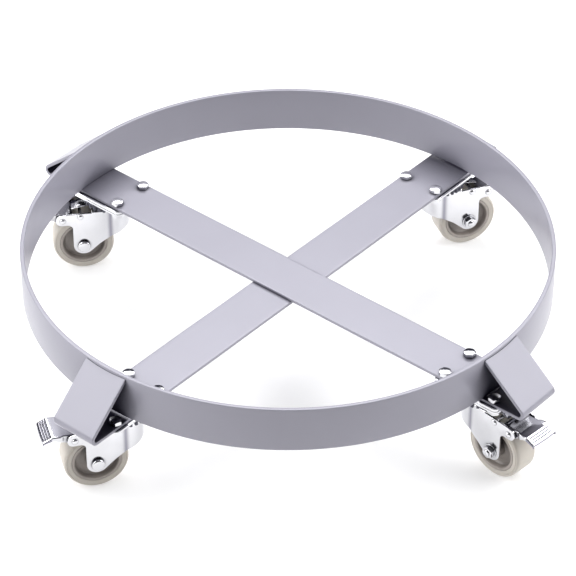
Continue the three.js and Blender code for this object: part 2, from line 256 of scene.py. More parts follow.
def thread(radius, low, high, pitch=1.25, depth=0.55, around=28):
    """A screw thread between two heights, with chamfered ends."""
    steps = max(4, int((high - low) / pitch * 6))
    loops = []
    for i in range(steps + 1):
        z = low + (high - low) * i / steps
        ends = min(z - low, high - z)
        ease = min(1.0, 0.55 + 0.45 * ends / (0.7 * pitch))
        loop = []
        for k in range(around):
            turn = k / around
            wave = abs(((z / pitch - turn) % 1.0) - 0.5) * 2
            r = (radius - depth * wave) * ease
            loop.append((r * math.cos(2 * math.pi * turn), r * math.sin(2 * math.pi * turn), z))
        loops.append(loop)
    return rings(loops)


def ball(centre, radius, around=20, up=12):
    loops = []
    for i in range(1, up):
        tilt = math.pi * i / up
        height = centre[2] - radius * math.cos(tilt)
        loops.append(circle(radius * math.sin(tilt), height, around, centre))
    return rings(loops)


def bead(path, radius, around=10, ripple=0.12, pitch=2.2):
    """A weld bead along a path of (x, y, z), with the ripples that it cools in."""
    loops = []
    run = 0.0
    for i, point in enumerate(path):
        here = Vector(point)
        ahead = Vector(path[min(i + 1, len(path) - 1)])
        behind = Vector(path[max(i - 1, 0)])
        if i:
            run += (here - behind).length
        along = (ahead - behind).normalized()
        side = along.cross(Vector((0, 0, 1))).normalized()
        up = side.cross(along)
        taper = min(1.0, 0.45 + 0.3 * min(i, len(path) - 1 - i))
        size = radius * taper * (1 - ripple + ripple * math.cos(2 * math.pi * run / pitch))
        loop = []
        for k in range(around):
            at = 2 * math.pi * k / around
            loop.append(tuple(here + side * (size * math.cos(at)) + up * (size * math.sin(at))))
        loops.append(loop)
    return rings(loops)


# Local Z laid along the axle: a shape drawn round Z points its top along +Y.
ALONG_Y = Matrix(((1, 0, 0, 0), (0, 0, 1, 0), (0, -1, 0, 0), (0, 0, 0, 1)))


def on_axis(shape, x, z):
    return placed(shape, Matrix.Translation((x, 0, z)) @ ALONG_Y)


# ---------- pieces ----------


SHARP_ANGLE = 32  # degrees between two faces, above which their edge isn't smoothed
RIM_ANGLE = 50  # degrees between two faces, above which an edge can be rounded


def piece(name, shape, body, replaces, slot, look, place=None, sheet=None, edge=None, painted_shade_at=None):
    """Makes one piece from a shape and rides it on its body.

    sheet: thickness for a shape that is only its outer skin. edge: width of the rounding on its sharp rims.
    The last argument is a function of a point before it is placed, which says how much painted shade darkens
    the plating there.
    """
    mesh = bpy.data.meshes.new(name)
    matrix = (place or Matrix.Identity(4)).copy()
    mesh.from_pydata([tuple((matrix @ Vector(v)) * MM) for v in shape[0]], [], shape[1])
    mesh.validate()
    part = bmesh.new()
    part.from_mesh(mesh)
    bmesh.ops.remove_doubles(part, verts=part.verts, dist=0.002 * MM)
    if sheet is None:
        bmesh.ops.recalc_face_normals(part, faces=part.faces)
    part.to_mesh(mesh)
    part.free()
    # painted shade: each point gets a share of darkening toward a painted dark band
    if painted_shade_at is not None:
        painted_shade = mesh.attributes.new("painted_shade", "FLOAT", "POINT")
        back = matrix.inverted()
        for vertex, entry in zip(mesh.vertices, painted_shade.data):
            entry.value = painted_shade_at(back @ (vertex.co / MM))
    obj = bpy.data.objects.new(name, mesh)
    bpy.context.scene.collection.objects.link(obj)
    if sheet is not None:
        solid = obj.modifiers.new("sheet", "SOLIDIFY")
        solid.thickness = sheet * MM
        solid.offset = -1
        solid.use_even_offset = True
    if edge is not None:
        bevel = obj.modifiers.new("edge", "BEVEL")
        bevel.width = edge * MM
        bevel.segments = 3
        bevel.limit_method = "ANGLE"
        bevel.angle_limit = math.radians(RIM_ANGLE)
        bevel.use_clamp_overlap = True
    if obj.modifiers:
        graph = bpy.context.evaluated_depsgraph_get()
        finished = bpy.data.meshes.new_from_object(obj.evaluated_get(graph))
        obj.modifiers.clear()
        obj.data = finished
        bpy.data.meshes.remove(mesh)
        finished.name = name
        mesh = finished
    part = bmesh.new()
    part.from_mesh(mesh)
    wide = [face for face in part.faces if len(face.verts) > 4]
    bmesh.ops.triangulate(part, faces=wide)
    for face in part.faces:
        face.smooth = True
    for line in part.edges:
        line.smooth = len(line.link_faces) == 2 and line.calc_face_angle(0) < math.radians(SHARP_ANGLE)
    part.to_mesh(mesh)
    part.free()
    mesh.materials.clear()
    mesh.materials.append(look)
    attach(obj, body)
    if replaces:
        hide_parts(*replaces)


# ---------- materials ----------


def new_material(name):
    material = bpy.data.materials.new(name)
    material.use_nodes = True
    nodes = material.node_tree.nodes
    nodes.clear()
    output = nodes.new("ShaderNodeOutputMaterial")
    shader = nodes.new("ShaderNodeBsdfPrincipled")
    material.node_tree.links.new(shader.outputs["BSDF"], output.inputs["Surface"])
    return material, shader


def noise(material, scale, detail):
    """Grain fixed to the piece; scale is how many lumps fit in a metre."""
    tree = material.node_tree
    where = tree.nodes.new("ShaderNodeTexCoord")
    texture = tree.nodes.new("ShaderNodeTexNoise")
    texture.inputs["Scale"].default_value = scale
    texture.inputs["Detail"].default_value = detail
    tree.links.new(where.outputs["Object"], texture.inputs["Vector"])
    return texture.outputs["Fac"]


def spread(material, value, low, high, out_low, out_high):
    """The value, stretched from one range to another."""
    node = material.node_tree.nodes.new("ShaderNodeMapRange")
    node.inputs["From Min"].default_value = low
    node.inputs["From Max"].default_value = high
    node.inputs["To Min"].default_value = out_low
    node.inputs["To Max"].default_value = out_high
    material.node_tree.links.new(value, node.inputs["Value"])
    return node.outputs["Result"]


def fill_ramp(node, stops):
    elements = node.color_ramp.elements
    while len(elements) < len(stops):
        elements.new(0.5)
    for element, (at, color) in zip(elements, stops):
        element.position = at
        element.color = (*color, 1)


def ramp(material, value, stops):
    """The value, turned into a colour."""
    node = material.node_tree.nodes.new("ShaderNodeValToRGB")
    fill_ramp(node, stops)
    material.node_tree.links.new(value, node.inputs["Fac"])
    return node.outputs["Color"]


def bump(material, shader, height, strength, distance, below=None):
    """Relief on the shader, laid over the one below."""
    node = material.node_tree.nodes.new("ShaderNodeBump")
    node.inputs["Strength"].default_value = strength
    node.inputs["Distance"].default_value = distance
    material.node_tree.links.new(height, node.inputs["Height"])
    if below is not None:
        material.node_tree.links.new(below, node.inputs["Normal"])
    material.node_tree.links.new(node.outputs["Normal"], shader.inputs["Normal"])
    return node.outputs["Normal"]


def tint(color, factor):
    return tuple(min(1.0, c * factor) for c in color)


def blended(tree, share, first, second):
    """From the first colour to the second as the share goes from 0 to 1; a colour may be a socket."""
    mix = tree.nodes.new("ShaderNodeMix")
    mix.data_type = "RGBA"
    sources = {("A", "RGBA"): first, ("B", "RGBA"): second, ("Factor", "VALUE"): share}
    for socket in mix.inputs:
        source = sources.get((socket.name, socket.type))
        if isinstance(source, tuple):
            socket.default_value = (*source, 1)
        elif source is not None:
            tree.links.new(source, socket)
    return next(out for out in mix.outputs if out.type == "RGBA")


def painted_crevice_shade(material, color, deep, reach, low, high):
    """Painted shade: the colour, sinking to a deep tone where surfaces close in on each other, by ambient
    occlusion.
    """
    tree = material.node_tree
    closed = tree.nodes.new("ShaderNodeAmbientOcclusion")
    closed.samples = 16
    closed.inputs["Distance"].default_value = reach
    open_part = tree.nodes.new("ShaderNodeMapRange")
    open_part.interpolation_type = "SMOOTHSTEP"
    open_part.inputs["From Min"].default_value = low
    open_part.inputs["From Max"].default_value = high
    tree.links.new(closed.outputs["AO"], open_part.inputs["Value"])
    return blended(tree, open_part.outputs["Result"], deep, color)


def paint_material():
    """Satin powder coat: fine orange peel over a faint cloudiness, darkened by painted shade where surfaces
    close in, as inside the brackets.
    """
    material, shader = new_material("paint_satin")
    link = material.node_tree.links.new
    shades = [(0.3, tint(PAINT_COLOR, 0.975)), (0.7, tint(PAINT_COLOR, 1.02))]
    cloudy = ramp(material, noise(material, 9.0, 4.0), shades)
    # painted shade: the paint sinks to near-black navy in crevices, inside the brackets and under the hoop
    link(painted_crevice_shade(material, cloudy, CREVICE_PAINTED_SHADE, 0.12, 0.22, 0.82), shader.inputs["Base Color"])
    fine = noise(material, 60.0, 3.0)
    gloss = spread(material, fine, 0.3, 0.7, PAINT_ROUGHNESS - 0.01, PAINT_ROUGHNESS + 0.02)
    link(gloss, shader.inputs["Roughness"])
    shader.inputs["Metallic"].default_value = PAINT_METALLIC
    shader.inputs["Specular IOR Level"].default_value = 0.5
    bump(material, shader, noise(material, 240.0, 2.0), 0.03, 0.0004)
    return material


def painted_shade(material, color):
    """Painted shade: the colour, darker where the piece's mesh marks it, as painted dark bands in folds and
    grooves.
    """
    tree = material.node_tree
    marks = tree.nodes.new("ShaderNodeAttribute")
    marks.attribute_name = "painted_shade"
    return blended(tree, marks.outputs["Fac"], color, PAINTED_BAND_SHADE)


def plated_material(name, roughness, grain=0.03, painted_bands=False, reach=0.010):
    """Bright zinc over steel: slow waves, a fine grain and a little unevenness in the gloss; painted shade
    darkens its crevices, and painted dark bands where a piece is marked for them.
    """
    material, shader = new_material(name)
    link = material.node_tree.links.new
    cloud = ramp(material, noise(material, 45.0, 4.0), [(0.35, tint(ZINC_COLOR, 0.95)), (0.68, ZINC_COLOR)])
    # painted shade: dark bands painted into the fork's valleys and the pad's grooves
    if painted_bands:
        cloud = painted_shade(material, cloud)
    # painted shade: the zinc sinks to near-black in crevices and recesses
    link(painted_crevice_shade(material, cloud, PLATED_PAINTED_SHADE, reach, 0.28, 0.97), shader.inputs["Base Color"])
    gloss = spread(material, noise(material, 130.0, 4.0), 0.3, 0.75, roughness * 0.8, roughness * 1.35)
    link(gloss, shader.inputs["Roughness"])
    shader.inputs["Metallic"].default_value = 1.0
    waves = bump(material, shader, noise(material, 70.0, 2.0), 0.08, 0.0008)
    bump(material, shader, noise(material, 1500.0, 2.0), grain, 0.0002, below=waves)
    return material


def tread_material():
    """Warm grey polyurethane with a soft, slightly matt skin."""
    material, shader = new_material("tyre_polyurethane")
    link = material.node_tree.links.new
    shades = [(0.3, tint(TREAD_COLOR, 0.95)), (0.72, tint(TREAD_COLOR, 1.03))]
    link(ramp(material, noise(material, 60.0, 5.0), shades), shader.inputs["Base Color"])
    link(spread(material, noise(material, 220.0, 3.0), 0.3, 0.7, 0.42, 0.55), shader.inputs["Roughness"])
    shader.inputs["Subsurface Weight"].default_value = 0.08
    shader.inputs["Subsurface Radius"].default_value = (0.004, 0.003, 0.002)
    shader.inputs["Subsurface Scale"].default_value = 0.5
    bump(material, shader, noise(material, 900.0, 3.0), 0.08, 0.0004)
    return material


def core_material():
    """Moulded wheel core: dark taupe with a soft gloss, darkened by painted shade in its recess."""
    material, shader = new_material("core_nylon")
    link = material.node_tree.links.new
    shades = [(0.3, tint(CORE_COLOR, 0.9)), (0.75, tint(CORE_COLOR, 1.08))]
    mottled = ramp(material, noise(material, 75.0, 4.0), shades)
    # painted shade: the core sinks to near-black in its recess and where it closes in on other parts
    link(painted_crevice_shade(material, mottled, CORE_PAINTED_SHADE, 0.02, 0.08, 0.75), shader.inputs["Base Color"])
    link(spread(material, noise(material, 300.0, 3.0), 0.3, 0.7, 0.3, 0.42), shader.inputs["Roughness"])
    bump(material, shader, noise(material, 700.0, 3.0), 0.06, 0.0004)
    return material


def dark_material():
    """Blackened steel of the lock ring, with a trace of grease."""
    material, shader = new_material("blackened_steel")
    link = material.node_tree.links.new
    shades = [(0.3, STEEL_DARK), (0.7, STEEL_LIGHT)]
    link(ramp(material, noise(material, 120.0, 4.0), shades), shader.inputs["Base Color"])
    link(spread(material, noise(material, 200.0, 3.0), 0.3, 0.7, 0.3, 0.5), shader.inputs["Roughness"])
    shader.inputs["Metallic"].default_value = 1.0
    bump(material, shader, noise(material, 900.0, 2.0), 0.1, 0.0003)
    return material


def floor_material():
    """Plain white floor with a faint glow, as when a studio lights it apart."""
    material, shader = new_material("floor_white")
    link = material.node_tree.links.new
    shades = [(0.3, (0.70, 0.70, 0.70)), (0.7, (0.72, 0.72, 0.72))]
    link(ramp(material, noise(material, 2.0, 2.0), shades), shader.inputs["Base Color"])
    shader.inputs["Roughness"].default_value = 0.9
    shader.inputs["Specular IOR Level"].default_value = 0.0
    shader.inputs["Emission Color"].default_value = (1, 1, 1, 1)
    shader.inputs["Emission Strength"].default_value = FLOOR_GLOW
    return material


PAINT_COLOR = (0.292, 0.286, 0.336)
# near-black navy of the paint's painted shade in crevices
CREVICE_PAINTED_SHADE = (0.016, 0.014, 0.032)
PAINT_ROUGHNESS = 0.30
PAINT_METALLIC = 0.1
ZINC_COLOR = (0.76, 0.76, 0.785)
# near-black of the zinc's painted shade in crevices
PLATED_PAINTED_SHADE = (0.02, 0.018, 0.035)
# colour of the painted dark bands in the fork's valleys and the pad's grooves
PAINTED_BAND_SHADE = (0.22, 0.21, 0.27)
TREAD_COLOR = (0.56, 0.52, 0.465)
CORE_COLOR = (0.37, 0.328, 0.298)
# near-black of the core's painted shade in its recess
CORE_PAINTED_SHADE = (0.028, 0.024, 0.026)
STEEL_DARK = (0.05, 0.05, 0.065)
STEEL_LIGHT = (0.11, 0.11, 0.135)

PAINT = paint_material()
PLATED = plated_material("zinc_pressing", 0.14)
FORK = plated_material("zinc_fork", 0.14, painted_bands=True)
PEDAL = plated_material("zinc_pedal", 0.12, painted_bands=True, reach=0.03)
FASTENER = plated_material("zinc_fastener", 0.16, grain=0.08)
TREAD = tread_material()
CORE = core_material()
DARK = dark_material()

# ---------- hoop and bars ----------


def hoop_shape():
    """Flat bar rolled on edge, its rims a little rounded."""
    inner = HOOP_OUTER_RADIUS - HOOP_THICKNESS
    corners = [
        (inner, HOOP_BOTTOM),
        (HOOP_OUTER_RADIUS, HOOP_BOTTOM),
        (HOOP_OUTER_RADIUS, HOOP_TOP),
        (inner, HOOP_TOP),
    ]
    return turned(rounded(corners, 0.9, 3), 360)


def bar_frame(top):
    """Where the fold of a bar is, and which way its sloping plate runs."""
    outside = BEND_RADIUS + BAR_THICKNESS
    bend = Vector((BRACKET_REACH - outside, top + BEND_RADIUS))
    along = HOOP_OUTER_RADIUS - bend.x
    up = HOOP_TOP - 3 - bend.y
    slope = math.atan2(along, up) + math.acos(outside / math.hypot(along, up))
    return bend, slope, math.pi / 2 - slope


def bar_chain(top, radius, y, flat_z):
    """One side of half a bar at a place across it: from the middle to the fold and up to the hoop."""
    bend, slope, face = bar_frame(top)
    points = [(x, flat_z) for x in (0.0, 120.0, 240.0, 320.0, bend.x)]
    steps = 12
    for k in range(1, steps + 1):
        at = -math.pi / 2 + (face + math.pi / 2) * k / steps
        points.append((bend.x + radius * math.cos(at), bend.y + radius * math.sin(at)))
    wall = math.sqrt((HOOP_OUTER_RADIUS + 0.3) ** 2 - y * y)
    start = Vector(points[-1])
    to_wall = (start.x - wall) / math.cos(slope)
    to_top = (HOOP_TOP - 2 - start.y) / math.sin(slope)
    run = min(to_wall, to_top)
    for k in range(1, 7):
        part = run * k / 6
        points.append((start.x - part * math.cos(slope), start.y + part * math.sin(slope)))
    return points


def bar_shape(top):
    """A whole cross bar along X: the half chain and its mirror image, at many places across."""
    columns = 25
    loops = []
    for i in range(columns):
        y = BAR_WIDTH * (i / (columns - 1) - 0.5)
        outer = bar_chain(top, BEND_RADIUS + BAR_THICKNESS, y, top - BAR_THICKNESS)
        inner = bar_chain(top, BEND_RADIUS, y, top)
        half = outer + list(reversed(inner))
        loop = [(x, y, z) for x, z in half[:-1]]
        loop += [(-x, y, z) for x, z in reversed(half[1:])]
        loops.append(loop)
    return rings(loops)


def turn_z(degrees):
    return Matrix.Rotation(math.radians(degrees), 4, "Z")


def bracket_welds(top, lift):
    """Short beads where the hoop stands on a bar, outside it, inside the folded corners."""
    size = 1.8
    step = 1.05
    path = []
    for k in range(-24, 25):
        y = k * step
        x = math.sqrt((HOOP_OUTER_RADIUS + 1.2) ** 2 - y * y)
        path.append((x, y, top + lift))
    return merged(*(placed(bead(path, size), turn_z(side)) for side in (0, 180)))


piece("hoop.rolled", hoop_shape(), "frame", ["hoop"], "paint", PAINT)
for name, top, angle in (("upper_cross_bar", UPPER_BAR_TOP, -45), ("lower_cross_bar", LOWER_BAR_TOP, 45)):
    piece(f"{name}.folded", bar_shape(top), "frame", [name], "paint", PAINT, place=turn_z(angle), edge=0.7)
welds = bracket_welds(UPPER_BAR_TOP, 0.9)
piece("upper_cross_bar.weld", welds, "frame", [], "paint", PAINT, place=turn_z(-45))

# ---------- caster pieces, each in its caster's own frame ----------
# Origin on the floor under the swivel axis; +X trails, +Y is the bolt-head end of the axle.


def box_outline(left, bottom, right, top):
    """The corners of a rectangle, counter-clockwise."""
    return [(left, bottom), (right, bottom), (right, top), (left, top)]


def rectangle(length, width):
    return box_outline(-length / 2, -width / 2, length / 2, width / 2)


def plate_bolt_shape(seat):
    """Hexagon bolt with its washer face on the bar and its nut under the caster plate."""
    nut_top = PLATE_BOTTOM
    wide, narrow = HEX_CORNER * 0.86, HEX_CORNER * 0.8
    washer = dome([(narrow, seat), (wide, seat + 0.1), (wide, seat + 0.5), (narrow, seat + 0.6)], 48)
    return merged(
        hexagon(HEX_CORNER, seat + 0.5, seat + HEAD_HEIGHT, chamfer_low=False),
        washer,
        thread(BOLT_RADIUS, nut_top - NUT_HEIGHT - THREAD_PROUD, seat + 0.3),
        hexagon(HEX_CORNER, nut_top - NUT_HEIGHT, nut_top),
    )


def mounting_plate_shape():
    """The caster plate with the raceway pressed down out of it."""
    outline = rounded(rectangle(PLATE_LENGTH, PLATE_WIDTH), PLATE_CORNER, 8)
    flat = slab(outline, PLATE_BOTTOM, PLATE_TOP - 0.02, 0.6, 3)
    cup = [
        (KING_PIN_RADIUS + 1, RACE_TOP + 0.4),
        (18.0, RACE_TOP),
        (22.5, RACE_TOP + 0.2),
        (24.6, RACE_TOP + 1.4),
        (25.4, PLATE_BOTTOM - 0.8),
        (27.0, PLATE_BOTTOM + 0.2),
        (20.0, PLATE_BOTTOM + 0.6),
        (KING_PIN_RADIUS + 1, PLATE_BOTTOM + 0.6),
    ]
    return merged(flat, turned(rounded(cup, 0.8, 3), 72))


def lock_ring_shape():
    """A ring under the plate whose teeth point down."""
    inner, outer = 29.0, 32.5
    base = PLATE_BOTTOM - 2.4
    shapes = [turned(rounded(box_outline(inner, base, outer, PLATE_BOTTOM), 0.4, 2), 96)]
    tooth_width, tooth_drop = 3.4, 5.6
    tooth = rounded(rectangle(outer - inner, tooth_width), 0.5, 2)
    solid = slab([(x + (outer + inner) / 2, y) for x, y in tooth], base - tooth_drop, base + 0.4, 0.4, 2)
    count = 30
    for k in range(count):
        shapes.append(placed(solid, turn_z(360 * k / count)))
    return merged(*shapes)


def disc(radius, low, high, edge, steps, segments=48):
    """A flat round disc with rounded rims."""
    core = 0.5
    return dome(rounded(box_outline(core, low, radius, high), [0, edge, edge, 0], steps), segments)


def king_pin_shape():
    """The swivel's pin: head in the plate, shank, washer and nut under the fork's crown."""
    crown = FORK_TOP - FORK_WALL
    return merged(
        disc(10, PLATE_BOTTOM + 0.3, PLATE_BOTTOM + 2, 0.5, 3),
        dome([(KING_PIN_RADIUS, crown - 4.6), (KING_PIN_RADIUS, PLATE_BOTTOM + 1)], 32),
        disc(11, crown - 2.6, crown - 0.3, 0.5, 3),
        hexagon(9.6, crown - 8.4, crown - 2.7),
        thread(KING_PIN_RADIUS, crown - 10.2, crown - 2.9, 1.5, 0.6),
    )


def ball_race_shape():
    """A ring of balls in a pressed cage."""
    middle = (RACE_TOP + RACE_BOTTOM) / 2
    radius, path = 3.0, 20.0
    count = 18
    shapes = []
    for k in range(count):
        at = 2 * math.pi * k / count
        shapes.append(ball((path * math.cos(at), path * math.sin(at), middle), radius, 16, 10))
    cage = box_outline(path - 3.6, middle - 0.7, path + 3.4, middle + 0.7)
    shapes.append(turned(rounded(cage, 0.4, 2), 72))
    return merged(*shapes)


def fork_plan():
    """The fork's outer face in plan, from the rear of the -Y flank round the head to the +Y flank."""
    half = FORK_HALF_WIDTH
    neck = half - NECK_DEPTH
    meet = math.degrees(math.asin(neck / HEAD_RADIUS))
    neck_x = HEAD_CENTRE + HEAD_RADIUS * math.cos(math.radians(meet))
    start = neck_x + NECK_RUN + 3
    # Each flank draws in along a soft curve, then meets the head in a shallow valley.
    flank = []
    steps = 12
    for k in range(steps):
        part = k / steps
        draw = part * part * (2 - part)
        flank.append((neck_x + NECK_RUN * (1 - part), half - NECK_DEPTH * draw))
    head = arc(HEAD_CENTRE, 0, HEAD_RADIUS, 360 - meet, meet, 56)
    return [(x, -y) for x, y in flank] + head + list(reversed(flank)), start


LEG_SLOPE = 43.0  # how far the leg's front edge leans, in degrees
EDGE_FRONT = (HEAD_FRONT - 1, 60.0)  # the lower edge runs from here, straight below the head,
EDGE_KINK = (TRAIL - 22, AXLE_Z + 4)  # to here, and on to the leg


def fork_side_points():
    """The flank's lower edge from the head back to the arm's end, then its top edge forwards."""
    bottom = [EDGE_FRONT, EDGE_KINK]
    bottom += arc(TRAIL, AXLE_Z, LEG_RADIUS, -90 - LEG_SLOPE, 0, 20)
    bottom += [(TRAIL + LEG_RADIUS, ARM_BOTTOM - 6)]
    bottom += arc(TRAIL + LEG_RADIUS + 6, ARM_BOTTOM - 6, 6, 180, 90, 8)[1:]
    bottom += arc(ARM_REAR - 7, ARM_BOTTOM + 7, 7, -90, 0, 8)
    bottom += arc(ARM_REAR - 5, FORK_TOP - 9.5, 4.4, 8, 78, 6)
    top = [(TRAIL + 15, FORK_TOP - 3.4), (CROWN_REAR + 3, FORK_TOP - 2.9)]
    return bottom, top


def low_edge(x):
    """Height of the fork's lower edge over the head and neck."""
    kink = Vector(EDGE_KINK)
    front = Vector(EDGE_FRONT)
    leg = Vector(arc(TRAIL, AXLE_Z, LEG_RADIUS, -90 - LEG_SLOPE, 0, 1)[0])
    ahead = (kink.y - front.y) / (kink.x - front.x)
    behind = (leg.y - kink.y) / (leg.x - kink.x)
    # A soft blend of the two straight edges.
    width = 3.0
    bend = (behind - ahead) * width * math.log1p(math.exp(max(-30.0, min(30.0, (x - kink.x) / width))))
    return kink.y + ahead * (x - kink.x) + bend


def fork_skin():
    """The outer skin of the pressed fork, facing outwards: two flanks, a round head and a crown."""
    plan, start = fork_plan()
    half = FORK_HALF_WIDTH
    columns = [(start, -half)] + plan + [(start, half)]
    rim = FORK_TOP - FORK_FILLET
    rows = 9
    verts, faces = [], []

    def add(x, y, z):
        verts.append((x, y, z))
        return len(verts) - 1

    grid = []
    for x, y in columns:
        low = low_edge(x)
        grid.append([add(x, y, low + (rim - low) * r / (rows - 1)) for r in range(rows)])
    for i in range(len(grid) - 1):
        for r in range(rows - 1):
            faces.append((grid[i][r], grid[i + 1][r], grid[i + 1][r + 1], grid[i][r + 1]))

    bottom, top = fork_side_points()
    beyond = [p for p in bottom if p[0] > start + 0.5]
    crown_ends = []
    for side, edge in ((-1, grid[0]), (1, grid[-1])):
        shared = add(CROWN_REAR, side * half, rim)
        crown_ends.append(shared)
        loop = list(edge)
        loop.append(shared)
        for x, z in reversed(top):
            loop.append(add(x, side * half, z))
        for x, z in reversed(beyond):
            loop.append(add(x, side * half, z))
        faces.append(tuple(loop) if side > 0 else tuple(reversed(loop)))

    # The fillet from the wall to the crown.
    base = [crown_ends[0]] + [column[-1] for column in grid] + [crown_ends[1]]
    path = [(CROWN_REAR, -half)] + columns + [(CROWN_REAR, half)]
    normals = []
    for i, point in enumerate(path):
        ahead = Vector(path[min(i + 1, len(path) - 1)])
        behind = Vector(path[max(i - 1, 0)])
        along = (ahead - behind).normalized()
        normals.append(Vector((along.y, -along.x)))
    inward = -1 if normals[len(normals) // 2].dot(Vector(path[len(path) // 2])) > 0 else 1
    previous = base
    steps = 6
    for k in range(1, steps + 1):
        at = math.pi / 2 * k / steps
        step_in = FORK_FILLET * (1 - math.cos(at))
        level = rim + FORK_FILLET * math.sin(at)
        ring = []
        for point, normal in zip(path, normals):
            spot = Vector(point) + normal * (inward * step_in)
            ring.append(add(spot.x, spot.y, level))
        for i in range(len(ring) - 1):
            faces.append((previous[i], previous[i + 1], ring[i + 1], ring[i]))
        previous = ring
    faces.append(tuple(previous))
    return verts, faces


def facing_out(shape, probe):
    """The same open skin with consistent faces; probe is a point and the way that the skin faces there."""
    part = bmesh.new()
    made = [part.verts.new(v) for v in shape[0]]
    for face in shape[1]:
        part.faces.new([made[i] for i in face])
    bmesh.ops.recalc_face_normals(part, faces=part.faces)
    point, outward = Vector(probe[0]), Vector(probe[1])
    part.faces.ensure_lookup_table()
    nearest = min(part.faces, key=lambda f: (f.calc_center_median() - point).length)
    if nearest.normal.dot(outward) < 0:
        bmesh.ops.reverse_faces(part, faces=part.faces)
    part.verts.index_update()
    verts = [tuple(v.co) for v in part.verts]
    faces = [tuple(v.index for v in f.verts) for f in part.faces]
    part.free()
    return verts, faces


def hill(at, middle, width):
    """A smooth rise to 1 at the middle."""
    return math.exp(-(((at - middle) / width) ** 2))


def neck_painted_shade(point):
    """How much painted shade darkens the plating at a point of the fork: a painted dark band in the valleys
    beside the head, standing in for a dark reflection.
    """
    neck = FORK_HALF_WIDTH - NECK_DEPTH
    valley = HEAD_CENTRE + math.sqrt(HEAD_RADIUS**2 - neck**2) + 2.2
    if abs(point.y) < neck - 3:
        return 0.0
    return 0.8 * hill(point.x, valley, 2.8)


def rivet_head(radius, height, seat):
    """A round head on a thin collar, standing on a face at height seat, facing up."""
    collar = radius * 1.12
    points = [(collar, seat - 0.2), (collar, seat + 0.35), (radius * 1.02, seat + 0.4), (radius, seat + 0.4)]
    for k in range(1, 9):
        at = math.pi / 2 * k / 8.5
        points.append((radius * math.cos(at), seat + 0.4 + (height - 0.4) * math.sin(at)))
    return dome(points, 40)


def both_ends(shape):
    """A shape standing on +Z and its mirror image on -Z."""
    mirror = ([(x, y, -z) for x, y, z in shape[0]], [tuple(reversed(f)) for f in shape[1]])
    return merged(shape, mirror)


def fork_trim_shape():
    """Raised raceway on the crown, and the cross pin with its two riveted heads."""
    inner = KING_PIN_RADIUS + 1.5
    seat = FORK_TOP - 0.4
    race = [(inner, seat), (16.6, seat), (14.8, RACE_BOTTOM), (inner, RACE_BOTTOM)]
    race = rounded(race, [0, 0, 1.2, 0.8], 4)
    ends = both_ends(rivet_head(3.5, 2.3, FORK_HALF_WIDTH))
    pin = dome([(2.0, -FORK_HALF_WIDTH), (2.0, FORK_HALF_WIDTH)], 24)
    return merged(turned(race, 64), on_axis(merged(ends, pin), TRAIL + 3, FORK_TOP - 7.5))


def spring_shape():
    """The leaf that runs from the crown to the pedal, with its two turned-up fingers."""
    line = [(14.0, 0.0), (24.0, 0.1), (34.0, -0.6), (41.0, -2.2), (48.0, -4.2)]
    half, thick = 8.5, 1.0
    loops = []
    for x, drop in line:
        z = FORK_TOP + 1.3 + drop
        ring = rounded(box_outline(-half, z - thick, half, z), 0.35, 2)
        loops.append([(x, y, height) for y, height in ring])
    leaf = rings(loops)
    fingers = []
    stem = slab(rounded(rectangle(5.2, 1.0), 0.3, 2), 0.0, 6.8, 0.3, 2)
    lean = Matrix.Rotation(math.radians(12), 4, "Y") @ turn_z(90)
    for side in (-1, 1):
        fingers.append(placed(stem, Matrix.Translation((27.0, side * 5.4, FORK_TOP + 0.6)) @ lean))
    return merged(leaf, *fingers)


def axle_shape():
    """The axle: a shouldered head at +Y, a sleeve between the flanks, washer, nut and stud at -Y."""
    seat = FORK_HALF_WIDTH + 0.1
    sleeve_end = FORK_HALF_WIDTH - FORK_WALL - 0.3
    sleeve = dome([(6.0, -sleeve_end), (6.0, sleeve_end)], 40)
    shoulder = AXLE_HEAD_HEIGHT - 2.6
    head = [(HEX_CORNER - 0.3, seat), (HEX_CORNER, seat + 0.4), (HEX_CORNER, seat + shoulder)]
    for k in range(1, 9):
        at = math.pi / 2 * k / 8
        head.append((HEX_CORNER - 2.4 * (1 - math.cos(at)), seat + shoulder + 2.0 * math.sin(at)))
    head += [(3.0, seat + AXLE_HEAD_HEIGHT - 0.25), (0.6, seat + AXLE_HEAD_HEIGHT - 0.1)]
    washer = disc(8.6, -seat - 0.9, -seat, 0.3, 2)
    nut = placed(hexagon(HEX_CORNER, -seat - NUT_HEIGHT, -seat - 0.9), turn_z(30))
    stud = thread(BOLT_RADIUS, -seat - NUT_HEIGHT - THREAD_PROUD, -seat + 0.5)
    shank = dome([(BOLT_RADIUS - 0.1, -seat), (BOLT_RADIUS - 0.1, seat + 0.5)], 32)
    return on_axis(merged(sleeve, dome(head, 48), washer, nut, stud, shank), TRAIL, AXLE_Z)


def pedal_pin_shape():
    """The rivet that the pedal hangs on."""
    seat = FORK_HALF_WIDTH
    ends = both_ends(rivet_head(3.6, 2.4, seat))
    shank = dome([(PIN_RADIUS, -seat), (PIN_RADIUS, seat)], 24)
    return on_axis(merged(ends, shank), PIVOT_X, PIVOT_Z)


def mirrored_profile(half):
    """Half an outline of (radius, across) from the bore outwards, and its mirror image."""
    return [(r, -w) for r, w in half] + [(r, w) for r, w in reversed(half)]


